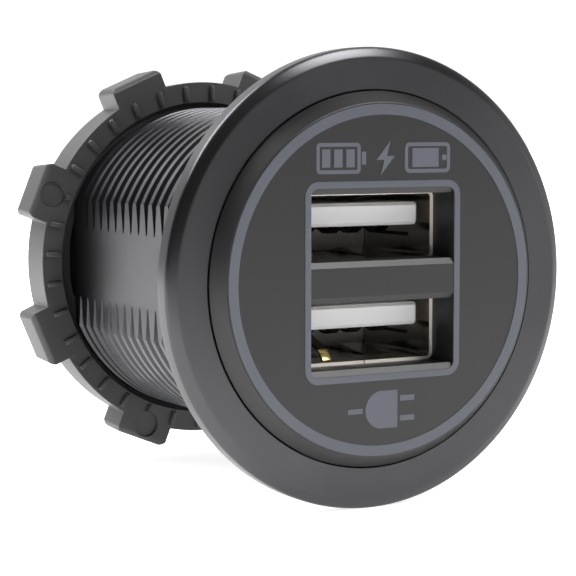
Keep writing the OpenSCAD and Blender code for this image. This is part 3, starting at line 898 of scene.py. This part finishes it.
@dataclass
class RingNut:
    """Moulded ring nut with eight lugs, radial grip ridges on its front and four ejector marks.

    Attributes:
        thread: The thread that it is cut with.
        front_y: Place of its front along the axis, in millimetres as all sizes here.
        thickness: Its thickness.
        ring_r: Radius between the lugs at the front.
        lug_h: How far the lugs stand out.
        lug_w: Width of a lug.
        lugs: Number of lugs.
        first_lug: Angle of the first lug, in degrees.
        ridges: Number of grip ridges.
        ridge_h: Height of a ridge.
        ridge_w: Width of a ridge.
        first_ridge: Angle of the first ridge, in degrees.
        draft: Drop in radius from front to back.
        corner_r: Size of the lugs' outer corners.
        edge_r: Radius of the edges all over.
        room: Clearance round the barrel's thread.
        flare: Width of the flared mouths of the bore.
        mark: Radius and depth of an ejector mark, and its distance from the lug's tip.
    """

    thread: Thread
    front_y: float = 27.4
    thickness: float = 3.9
    ring_r: float = 16.05
    lug_h: float = 1.6
    lug_w: float = 5.1
    lugs: int = 8
    first_lug: float = 23.0
    ridges: int = 36
    ridge_h: float = 0.3
    ridge_w: float = 0.44
    first_ridge: float = 7.0
    draft: float = 0.2
    corner_r: float = 0.5
    edge_r: float = 0.14
    room: float = 0.12
    flare: float = 0.4
    mark: tuple[float, float, float] = (1.2, 0.25, 1.45)

    def build(self, shelf: FinishShelf) -> None:
        """Moulds the nut and dresses it.

        Args:
            shelf: Where the finish comes from.
        """
        back = self.front_y + self.thickness
        inner = self.thread.crest_r + self.room
        tips = inner - self.thread.depth
        # A hair over the tips, so that the thread cuts no surface that it lies in
        ring_inner = tips + 0.03
        nut = turned([(ring_inner, self.front_y), (self.ring_r, self.front_y),
                      (self.ring_r - self.draft, back), (ring_inner, back)])
        spread = [self.first_lug + i * 360 / self.lugs for i in range(self.lugs)]
        combine(nut, copies_round_axis(self.lug(), spread), Join.ADD)
        soften(nut, self.edge_r, 3, 35)
        combine(nut, self.mouths(inner, tips), Join.CUT)
        combine(nut, self.thread.rod(self.front_y - 1, back + 1, self.room), Join.CUT)
        turns = [self.first_ridge + i * 360 / self.ridges for i in range(self.ridges)]
        combine(nut, copies_round_axis(self.ridge(inner), turns), Join.ADD)
        combine(nut, copies_round_axis(self.ejector_mark(), spread[1::2]), Join.CUT)
        shelf.dress(hand_over(nut, "moulded_ring_nut", ["lock_nut"]), NYLON)

    def lug(self) -> bpy.types.Object:
        """Shapes one lug on the +X side: round corners outside, a little narrower at the back.

        Returns:
            The lug.
        """
        tip, half = self.ring_r + self.lug_h, self.lug_w / 2
        back = self.front_y + self.thickness
        lug = box((self.ring_r - 1.2, self.front_y, -half), (tip, back, half))
        select_vertices(lug, lambda place: place.y > (back - 0.1) * MM)
        bpy.ops.transform.resize(value=(1, 1, 1 - self.draft / half), center_override=(0, back * MM, 0))
        select_vertices(lug, lambda place: place.y > (back - 0.1) * MM and place.x > (tip - 0.1) * MM)
        bpy.ops.transform.translate(value=(-self.draft * MM, 0, 0))
        select_vertices(lug, lambda place: place.x > (tip - self.draft - 0.1) * MM)
        bpy.ops.object.mode_set(mode="OBJECT")
        for edge in lug.data.edges:
            ends = [lug.data.vertices[i].co for i in edge.vertices]
            edge.select = all(e.x > (tip - 0.4) * MM for e in ends) and abs(ends[0].y - ends[1].y) > MM
        bpy.ops.object.mode_set(mode="EDIT")
        bpy.ops.mesh.select_mode(type="EDGE")
        bpy.ops.mesh.bevel(offset=self.corner_r * MM, segments=5, affect="EDGES")
        bpy.ops.mesh.select_mode(type="VERT")
        bpy.ops.object.mode_set(mode="OBJECT")
        return lug

    def ridge(self, inner: float) -> bpy.types.Object:
        """Shapes one grip ridge on the +X side, with soft edges and a round outer end.

        Args:
            inner: Radius of the nut's bore.

        Returns:
            The ridge.
        """
        half = self.ridge_w / 2
        ridge = box((inner + 0.55, self.front_y - self.ridge_h, -half),
                    (self.ring_r - 0.3, self.front_y + 0.3, half))
        soften(ridge, 0.13, 2, 60)
        return ridge

    def ejector_mark(self) -> bpy.types.Object:
        """Makes the tool for one shallow round mark on a lug.

        Returns:
            The tool.
        """
        (radius, deep, from_tip), front = self.mark, self.front_y
        mark = turned([(0, front - 1), (radius, front - 1), (radius, front), (radius - 0.1, front + deep),
                       (0, front + deep)], 40)
        pick(mark)
        bpy.ops.transform.translate(value=((self.ring_r + self.lug_h - from_tip) * MM, 0, 0))
        return settle()

    def mouths(self, inner: float, tips: float) -> bpy.types.Object:
        """Makes the tool for the two flared mouths of the bore.

        Args:
            inner: Radius of the bore between the thread's ridges.
            tips: Radius of the ridges' tips.

        Returns:
            The tool.
        """
        front, back, flare = self.front_y, self.front_y + self.thickness, self.flare
        deep = 1.4 * flare
        return turned([(0, front - 1), (inner + flare + 0.5, front - 0.5), (inner + flare, front),
                       (inner, front + flare), (tips, front + deep), (tips - 0.1, front + deep),
                       (tips - 0.1, back - deep), (tips, back - deep), (inner, back - flare),
                       (inner + flare, back), (inner + flare + 0.5, back + 0.5), (0, back + 1)])


@dataclass
class Face:
    """Moulded face plate: a disc with a sloping shoulder, two windows and grooves for the light guide.

    Attributes:
        front_r: Radius of the flat front, in millimetres as all sizes here.
        rim_r: Radius of the shoulder at the flange.
        inner_r: Radius of the part in the bore.
        front_y: Plane of the front.
        flange_y: Plane of the flange's front.
        seat_y: Plane of the seat in the housing.
        back_y: Plane of the back.
        window_w: Width of a window.
        window_z: Lower and upper side of a window over the middle of the bar.
        bevel: Height and depth of the bevels over and under a window.
        side_bevel: Width and depth of the bevels beside it.
        corner_r: Radius of the windows' outer corners.
        line_w: Width of the light line round the windows.
        ring: Inner and outer radius of the light ring.
        groove_d: Depth of the light guide's grooves.
        lip: Size of the broken edge round the front.
        web: Thin wall between a window and the light line.
    """

    front_r: float = 14.03
    rim_r: float = 14.89
    inner_r: float = 11.6
    front_y: float = -3.1
    flange_y: float = -1.9
    seat_y: float = -1.0
    back_y: float = -0.3
    window_w: float = 13.28
    window_z: tuple[float, float] = (1.15, 7.31)
    bevel: tuple[float, float] = (0.46, 0.27)
    side_bevel: tuple[float, float] = (0.13, 1.05)
    corner_r: float = 0.65
    line_w: float = 0.52
    ring: tuple[float, float] = (13.04, 13.87)
    groove_d: float = 0.6
    lip: float = 0.08
    web: float = 0.03

    def build(self, shelf: FinishShelf) -> None:
        """Moulds the face plate and dresses it.

        Args:
            shelf: Where the finish comes from.
        """
        front, lip = self.front_y, self.lip
        disc = turned([(0, front), (self.front_r - 0.3, front), (self.front_r - lip, front),
                       (self.front_r, front + lip * 0.4), (self.front_r + lip, front + lip * 1.5),
                       (self.rim_r, self.flange_y - lip), (self.rim_r, self.seat_y),
                       (self.inner_r, self.seat_y), (self.inner_r, self.back_y), (0, self.back_y)],
                      TURNED_SIDES)
        for side in (-1, 1):
            combine(disc, self.window(side), Join.CUT)
        groove = front + self.groove_d
        inner, outer = self.ring
        ring = turned([(inner, front - 1), (outer, front - 1), (outer, groove), (inner, groove)],
                      TURNED_SIDES)
        combine(disc, ring, Join.CUT)
        line = plate(self.outline(self.line_w), front - 1, groove)
        combine(line, plate(self.outline(0.0), front - 2, groove + 1), Join.CUT)
        combine(disc, line, Join.CUT)
        shelf.dress(hand_over(disc, "moulded_face", ["face_plate"], smooth_deg=20), FACE)

    def outline(self, grow: float) -> list[tuple[float, float]]:
        """Draws the light line's inner edge, which runs round both windows.

        Args:
            grow: How much larger it is drawn, in millimetres.

        Returns:
            Its corners in order.
        """
        half_w, half_h = self.window_w / 2 + self.web + grow, self.window_z[1] + self.web + grow
        return rounded(-half_w, -half_h, half_w, half_h, self.corner_r + grow)

    def window(self, side: int) -> bpy.types.Object:
        """Makes the tool that cuts one window with its bevels.

        Args:
            side: One for the upper window, minus one for the lower.

        Returns:
            The tool.
        """
        (high, deep), (side_w, side_d) = self.bevel, self.side_bevel
        near, far = self.window_z
        low, top = (near, far) if side > 0 else (-far, -near)
        half = self.window_w / 2
        before, behind = self.front_y - 1, self.back_y + 2
        out, side_out = high / deep, side_w / side_d
        hole = sideways([(before, low - out), (self.front_y + deep, low + high), (behind, low + high),
                         (behind, top - high), (self.front_y + deep, top - high), (before, top + out)],
                        -half - 1, half + 1)
        walls = sideways([(before, -half - side_out), (self.front_y + side_d, side_w - half),
                          (behind, side_w - half), (behind, half - side_w),
                          (self.front_y + side_d, half - side_w), (before, half + side_out)],
                         -far - 1, far + 1)
        pick(walls)
        bpy.ops.transform.rotate(value=math.radians(90), orient_axis="Y", center_override=(0, 0, 0))
        settle()
        combine(hole, walls, Join.KEEP_COMMON)
        return combine(hole, plate(self.outline(-0.02), before - 1, behind + 1), Join.KEEP_COMMON)


@dataclass
class Tongue:
    """White tongue of one port on its block, with a soft nose and grooves for the contacts.

    Attributes:
        node: Solid that it takes the place of; its box gives the tongue's size.
        width: Width of the tongue in millimetres, as all sizes here.
        thickness: Thickness of the tongue.
        rise: Height of the tongue's middle over the middle of the port.
        block_l: Length of the block behind it.
        nose: Size of the soft edge round the front.
        grooves: Middles of the grooves.
        groove: Width and depth of a groove.
        groove_start: Distance from the tongue's front to the grooves.
        edge_r: Radius of the tongue's long edges.
        block_r: Radius of the block's.
    """

    node: str
    width: float = 11.1
    thickness: float = 1.84
    rise: float = 0.95
    block_l: float = 3.7
    nose: float = 0.25
    grooves: tuple[float, ...] = (-3.5, -1.0, 1.0, 3.5)
    groove: tuple[float, float] = (1.1, 0.35)
    groove_start: float = 0.8
    edge_r: float = 0.35
    block_r: float = 0.5

    def build(self, shelf: FinishShelf) -> None:
        """Moulds the tongue and dresses it.

        Args:
            shelf: Where the finish comes from.
        """
        low, high = (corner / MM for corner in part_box(self.node))
        block_y = high.y - self.block_l
        middle = (low.z + high.z) / 2 + self.rise
        under, over, half = middle - self.thickness / 2, middle + self.thickness / 2, self.width / 2
        blade = plate(rounded(-half, under, half, over, self.edge_r), low.y, block_y + 1)
        soften(blade, self.nose, 1, 60)
        block = plate(rounded(low.x, low.z, high.x, high.z, self.block_r), block_y, high.y)
        combine(block, blade, Join.ADD)
        groove_w, groove_d = self.groove
        for x in self.grooves:
            combine(block, box((x - groove_w / 2, low.y + self.groove_start, under - 0.05),
                               (x + groove_w / 2, high.y + 1, under + groove_d)), Join.CUT)
        name = self.node.replace("usb", "moulded")
        shelf.dress(hand_over(block, name, [self.node]), POLYESTER)


@dataclass
class BentContact:
    """First contact of the lower port, bent down to the floor so that its gilt tip shows.

    Attributes:
        centre_x: Middle of the contact, in millimetres as all sizes here.
        width: Its width.
        sheet: Its thickness.
        root: Where it leaves the straight contact, as Y and Z.
        knee: Where it turns down.
        tip: Where it ends, just over the shell's floor.
    """

    centre_x: float = -3.15
    width: float = 0.85
    sheet: float = 0.2
    root: tuple[float, float] = (3.6, -4.6)
    knee: tuple[float, float] = (1.05, -5.62)
    tip: tuple[float, float] = (0.3, -6.42)

    def build(self, shelf: FinishShelf) -> None:
        """Bends the strip and gilds its tip.

        Args:
            shelf: Where the finishes come from.
        """
        strip = self.strip(self.root, self.knee)
        # The strip takes the bronze that is painted dark as painted shade
        shelf.dress(hand_over(strip, "bent_contact_strip"), SHADED_BRONZE)
        end = self.strip(self.knee, self.tip)
        soften(end, 0.06, 2, 40)
        shelf.dress(hand_over(end, "bent_contact_tip"), GOLD)

    def strip(self, start: tuple[float, float], end: tuple[float, float]) -> bpy.types.Object:
        """Makes one straight length of the strip.

        Args:
            start: Where it starts, as Y and Z.
            end: Where it ends.

        Returns:
            The length.
        """
        way = (Vector(end) - Vector(start)).normalized()
        aside = Vector((-way.y, way.x)) * self.sheet
        corners = [Vector(start), Vector(end), Vector(end) + aside, Vector(start) + aside]
        half = self.width / 2
        return sideways([tuple(c) for c in corners], self.centre_x - half, self.centre_x + half)


@dataclass
class Sign:
    """Printed pictures on the face: charge, phone and battery above the ports, a plug below them.

    Attributes:
        face_y: Plane of the face along the axis, in millimetres.
        film: Thickness of the ink.
        stroke: Width of a drawn line.
        upper_z: Height of the upper row's middle.
        half_h: Half the height of the battery and the phone.
        lower_z: Height of the plug's middle.
        plug_r: Half the height of the plug, which ends round.
    """

    face_y: float
    film: float = 0.025
    stroke: float = 0.3
    upper_z: float = 9.65
    half_h: float = 1.2
    lower_z: float = -10.2
    plug_r: float = 1.5

    def build(self, shelf: FinishShelf) -> None:
        """Prints every picture.

        Args:
            shelf: Where the ink comes from.
        """
        z, half = self.upper_z, self.half_h
        battery = [self.frame(-6.2, z - half, -2.2, z + half, 0.35), self.bar(-2.1, z - 0.5, -1.7, z + 0.5)]
        battery += [self.bar(x, z - 0.7, x + 0.75, z + 0.7) for x in (-5.7, -4.6, -3.5)]
        phone = [self.frame(1.9, z - half, 6.2, z + half, 0.45), self.bar(2.6, z - 0.75, 5.1, z + 0.75),
                 self.disc(5.65, z, 0.24)]
        self.join("sign_battery", battery, shelf)
        self.join("sign_charge", [self.bolt(0.1, z)], shelf)
        self.join("sign_phone", phone, shelf)
        self.join("sign_plug", self.plug(self.lower_z), shelf)

    def bar(self, x0: float, z0: float, x1: float, z1: float) -> bpy.types.Object:
        """Prints a filled rectangle between two corners in millimetres."""
        return plate([(x0, z0), (x1, z0), (x1, z1), (x0, z1)], self.face_y - self.film, self.face_y)

    def disc(self, x: float, z: float, radius: float, points: int = 24) -> bpy.types.Object:
        """Prints a dot of the given radius in millimetres."""
        turn = [2 * math.pi * i / points for i in range(points)]
        return plate([(x + radius * math.cos(a), z + radius * math.sin(a)) for a in turn],
                     self.face_y - self.film, self.face_y)

    def frame(self, x0: float, z0: float, x1: float, z1: float, radius: float) -> bpy.types.Object:
        """Prints the outline of a rectangle with round corners, as a line of the sign's stroke.

        Args:
            x0: Left side in millimetres.
            z0: Lower side.
            x1: Right side.
            z1: Upper side.
            radius: Radius of its corners.

        Returns:
            The printed line.
        """
        line = plate(rounded(x0, z0, x1, z1, radius), self.face_y - self.film, self.face_y)
        s = self.stroke
        inner = plate(rounded(x0 + s, z0 + s, x1 - s, z1 - s, max(radius - s, 0.06)),
                      self.face_y - 1, self.face_y + 1)
        return combine(line, inner, Join.CUT)

    def bolt(self, x: float, z: float) -> bpy.types.Object:
        """Prints a lightning flash.

        Args:
            x: Its middle in millimetres.
            z: Height of its middle.

        Returns:
            The printed shape.
        """
        half = [(0.45, 1.35), (-0.85, -0.15), (-0.12, -0.15)]
        outline = half + [(-a, -b) for a, b in half]
        return plate([(x + a, z + b) for a, b in outline], self.face_y - self.film, self.face_y)

    def plug(self, z: float) -> list[bpy.types.Object]:
        """Prints a two-pin plug on its side with a piece of lead.

        Args:
            z: Height of its middle in millimetres.

        Returns:
            The printed shapes.
        """
        turn = [math.radians(a) for a in range(90, 271, 12)]
        round_end = [(-0.2 + self.plug_r * math.cos(a), z + self.plug_r * math.sin(a)) for a in turn]
        body = plate([*round_end, (1.3, z - self.plug_r), (1.3, z + self.plug_r)],
                     self.face_y - self.film, self.face_y)
        pins = [self.bar(1.55, z + side * 0.8 - 0.22, 2.9, z + side * 0.8 + 0.22) for side in (-1, 1)]
        lead = self.bar(-3.3, z - 0.2, -1.95, z + 0.2)
        return [body, lead, *pins]

    def join(self, name: str, shapes: list[bpy.types.Object], shelf: FinishShelf) -> None:
        """Makes one sign of several printed shapes and dresses it.

        Args:
            name: Name of the sign.
            shapes: Its shapes.
            shelf: Where the ink comes from.
        """
        start_afresh()
        for shape in shapes:
            shape.select_set(True)
        bpy.context.view_layer.objects.active = shapes[0]
        if len(shapes) > 1:
            bpy.ops.object.join()
        shelf.dress(hand_over(shapes[0], name), INK)


# Studio


# Uncoated white paper: matt, with a slight wave
PAPER = Finish("white_paper", "#ededed", 0.9, grain_mm=3.0, grain_depth_mm=0.01, mottle=0.03)


@dataclass(frozen=True)
class Glow:
    """Round bright patch in the surroundings.

    Attributes:
        way: Direction of its middle.
        gain: Light that it adds.
        edge: Cosines of the angles from its middle where it sets in and where it is full.
    """

    way: tuple[float, float, float]
    gain: float
    edge: tuple[float, float]

    def add(self, tree: bpy.types.NodeTree, way: bpy.types.NodeSocket,
            total: bpy.types.NodeSocket) -> bpy.types.NodeSocket:
        """Adds the patch to the light of the surroundings.

        Args:
            tree: The world's tree.
            way: Direction in which the world is seen.
            total: Light without the patch.

        Returns:
            Light with the patch.
        """
        towards = add_node(tree, "ShaderNodeVectorMath", {
            "operation": "DOT_PRODUCT", 1: Vector(self.way).normalized()}, {0: way})
        patch = add_node(tree, "ShaderNodeMapRange", {
            "From Min": self.edge[0], "From Max": self.edge[1], "To Min": 0.0, "To Max": self.gain,
            "interpolation_type": "SMOOTHSTEP"}, {"Value": towards.outputs["Value"]})
        return add_node(tree, "ShaderNodeMath", {"operation": "ADD"},
                        {0: total, 1: patch.outputs["Result"]}).outputs["Value"]


# Broad and soft, to the right of the front; its edge shades the flange from right to left
SIDE_WINDOW = Glow((0.86, -0.42, -0.3), 0.8, (0.82, 0.94))
# Small and strong, above the front; it draws the white arc on the flange's chamfer
SKYLIGHT = Glow((0.37, -0.53, 0.74), 18.0, (0.965, 0.99))


@dataclass(frozen=True)
class SoftBox:
    """Square soft box.

    Attributes:
        name: Name of the light.
        place: Where it hangs.
        size: Side of the square.
        power: Power in watts.
    """

    name: str
    place: tuple[float, float, float]
    size: float
    power: float

    def hang(self, target: Vector) -> None:
        """Hangs it so that it faces a place.

        Args:
            target: The place.
        """
        data = bpy.data.lights.new(self.name, "AREA")
        data.size = self.size
        data.energy = self.power
        lamp = bpy.data.objects.new(self.name, data)
        lamp.location = self.place
        lamp.rotation_mode = "QUATERNION"
        lamp.rotation_quaternion = (target - Vector(self.place)).to_track_quat("-Z", "Y")
        bpy.context.scene.collection.objects.link(lamp)


# Large, above, behind and to the left: it lights the barrel and the nut
TOP_BOX = SoftBox("top_box", (-0.2, 0.16, 0.36), 0.3, 3.0)
# Small and weak, in front and to the right: it lifts the dark side a little
RIGHT_BOX = SoftBox("right_box", (0.3, -0.2, 0.04), 0.16, 0.1)


@dataclass
class Studio:
    """Pale floor, soft surroundings, soft boxes and the camera.

    Attributes:
        floor_z: Height of the floor, which the flange's rim touches.
        floor_size: Side of the square floor.
        glow_from: Places along Y between which the floor's glow sets in.
        eye_mm: Place of the lens in the object's frame.
        look: Direction of view.
        lens_mm: Focal length on the 36 mm sensor.
        dim: Strength of the surroundings in front of the socket.
        bright: Strength of the surroundings behind it.
        brighter_way: Direction in which the surroundings grow brighter.
        growth: Cosines of the angles from that direction between which they do.
        floor_glow: Strength of the floor's own light.
        middle_y: Place on the barrel's axis that the soft boxes face.
        glows: Bright patches in the surroundings.
        soft_boxes: Soft boxes.
    """

    floor_z: float
    floor_size: float = 3.0
    glow_from: tuple[float, float] = (-0.12, -0.032)
    eye_mm: tuple[float, float, float] = (-83.38, -132.86, 12.68)
    look: tuple[float, float, float] = (0.49697, 0.86353, -0.08563)
    lens_mm: float = 122.86
    dim: float = 0.1
    bright: float = 1.1
    brighter_way: tuple[float, float, float] = (0.3, 0.95, 0.0)
    growth: tuple[float, float] = (-0.05, 0.3)
    floor_glow: float = 0.8
    middle_y: float = 0.012
    glows: tuple[Glow, ...] = (SIDE_WINDOW, SKYLIGHT)
    soft_boxes: tuple[SoftBox, ...] = (TOP_BOX, RIGHT_BOX)

    def build(self) -> None:
        """Makes everything round the object."""
        self.floor()
        self.surroundings()
        for soft_box in self.soft_boxes:
            soft_box.hang(Vector((0, self.middle_y, 0)))
        self.camera()

    def floor(self) -> None:
        """Lays white paper, lit from below so that shadows hardly show, and less towards the camera."""
        start_afresh()
        bpy.ops.mesh.primitive_plane_add(size=self.floor_size, location=(0, 0, self.floor_z))
        floor = bpy.context.object
        floor.name = "studio_floor"
        paper = PAPER.material()
        tree = paper.node_tree
        shader = next(n for n in tree.nodes if n.type == "BSDF_PRINCIPLED")
        shader.inputs["Emission Color"].default_value = (1, 1, 1, 1)
        where = add_node(tree, "ShaderNodeTexCoord").outputs["Object"]
        along = add_node(tree, "ShaderNodeSeparateXYZ", links={"Vector": where}).outputs["Y"]
        glow = add_node(tree, "ShaderNodeMapRange", {
            "From Min": self.glow_from[0], "From Max": self.glow_from[1], "To Min": 0.0,
            "To Max": self.floor_glow, "interpolation_type": "SMOOTHSTEP"}, {"Value": along})
        tree.links.new(glow.outputs["Result"], shader.inputs["Emission Strength"])
        floor.data.materials.append(paper)
        floor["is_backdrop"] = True

    def surroundings(self) -> None:
        """Lights the studio from all round: dim in front, bright behind and to the right."""
        world = bpy.data.worlds.new("studio_surroundings")
        world.use_nodes = True
        tree = world.node_tree
        tree.nodes.clear()
        way = add_node(tree, "ShaderNodeTexCoord").outputs["Generated"]
        along = add_node(tree, "ShaderNodeVectorMath", {
            "operation": "DOT_PRODUCT", 1: Vector(self.brighter_way).normalized()}, {0: way}).outputs["Value"]
        level = add_node(tree, "ShaderNodeMapRange", {
            "From Min": self.growth[0], "From Max": self.growth[1], "To Min": self.dim,
            "To Max": self.bright, "interpolation_type": "SMOOTHSTEP"}, {"Value": along})
        total = level.outputs["Result"]
        for glow in self.glows:
            total = glow.add(tree, way, total)
        light = add_node(tree, "ShaderNodeBackground", {"Color": (1, 1, 1, 1)}, {"Strength": total})
        add_node(tree, "ShaderNodeOutputWorld", links={"Surface": light.outputs["Background"]})
        bpy.context.scene.world = world

    def camera(self) -> None:
        """Sets the camera at the photograph's angle."""
        data = bpy.data.cameras.new("camera")
        data.lens = self.lens_mm
        data.sensor_width = 36.0
        data.clip_start = 0.01
        data.clip_end = 10.0
        camera = bpy.data.objects.new("camera", data)
        camera.location = Vector(self.eye_mm) * MM
        camera.rotation_mode = "QUATERNION"
        camera.rotation_quaternion = Vector(self.look).to_track_quat("-Z", "Y")
        bpy.context.scene.collection.objects.link(camera)
        bpy.context.scene.camera = camera
        bpy.context.scene.view_settings.view_transform = "Standard"


def main() -> None:
    """Builds the dressed socket, one sub-assembly after another."""
    logging.basicConfig(level=logging.INFO, format="%(name)s: %(message)s")
    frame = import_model()
    cad_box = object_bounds()
    shelf = FinishShelf()
    for name, node in frame["nodes"].items():
        shelf.dress(node, NODE_FINISH[name])
        LOG.info("dressed %s", name)
    thread = Thread()
    Body(thread).build(shelf)
    RingNut(thread).build(shelf)
    Face().build(shelf)
    for node in ("usb_tongue_upper", "usb_tongue_lower"):
        Tongue(node).build(shelf)
    BentContact().build(shelf)
    face_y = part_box("face_plate")[0].y / MM
    Sign(face_y).build(shelf)
    Studio(floor_z=cad_box[0].z).build()


if __name__ == "__main__":
    main()
